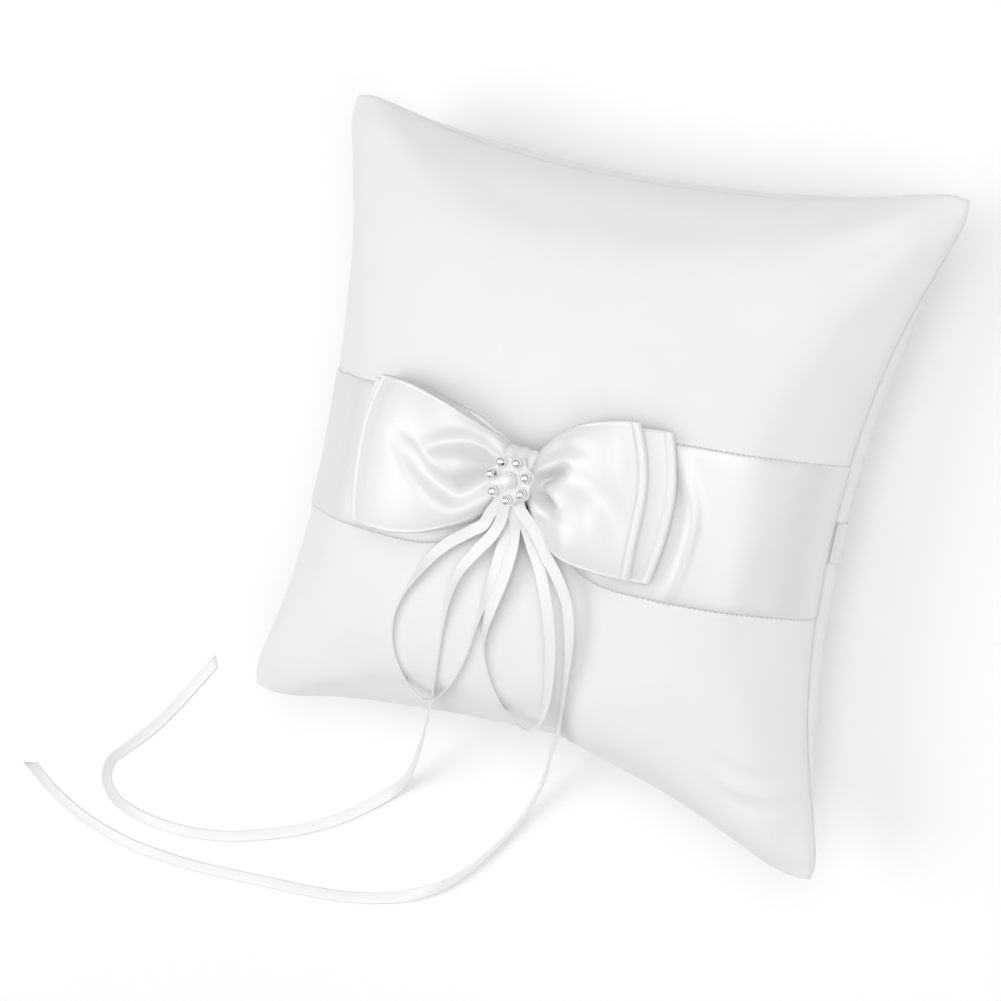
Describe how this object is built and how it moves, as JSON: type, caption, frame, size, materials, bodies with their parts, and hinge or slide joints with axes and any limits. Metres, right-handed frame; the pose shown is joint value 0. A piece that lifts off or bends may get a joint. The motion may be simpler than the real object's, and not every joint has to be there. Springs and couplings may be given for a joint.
{
  "type": "ring bearer pillow",
  "caption": "Square stuffed satin cushion with a wide ribbon band, a double bow, a bead cluster, narrow trailing ribbons for tying wedding rings, and a hand strap across the back.",
  "frame": {"origin": "on the surface that the pillow lies on, under the middle of the pillow's four corners", "axes": "+Z out of the decorated face, +Y towards the top edge, +X to the right when the face is seen upright"},
  "size_m": [0.266, 0.2456, 0.0648],
  "materials": {
    "cover_satin": "matte white bridal satin",
    "ribbon_satin": "glossy white single-face satin ribbon with woven edges",
    "fibre_fill": "loose white polyester fibre",
    "tack_thread": "white sewing thread",
    "silver_bead": "polished silver plating",
    "pearl": "pearl lacquer",
    "cluster_base": "white moulded plastic with a silver rim"
  },
  "bodies": {
    "root": {"front_panel": "cover_satin", "back_panel": "cover_satin", "stuffing": "fibre_fill", "satin_band": "ribbon_satin", "hand_strap": "ribbon_satin", "bow_under_loop_left": "ribbon_satin", "bow_under_loop_right": "ribbon_satin", "bow_top_loop_left": "ribbon_satin", "bow_top_loop_right": "ribbon_satin", "bow_knot": "ribbon_satin", "ribbon_tie": "ribbon_satin", "ribbon_loop_left": "ribbon_satin", "ribbon_loop_right": "ribbon_satin", "ribbon_tail_left": "ribbon_satin", "ribbon_tail_right": "ribbon_satin", "tack_thread": "tack_thread", "cluster_shank": "cluster_base", "cluster_plate": "cluster_base", "centre_pearl": "pearl", "bead_1": "silver_bead", "bead_2": "silver_bead", "bead_3": "silver_bead", "bead_4": "silver_bead", "bead_5": "silver_bead", "bead_6": "silver_bead", "bead_7": "silver_bead"}
  },
  "joints": []
}
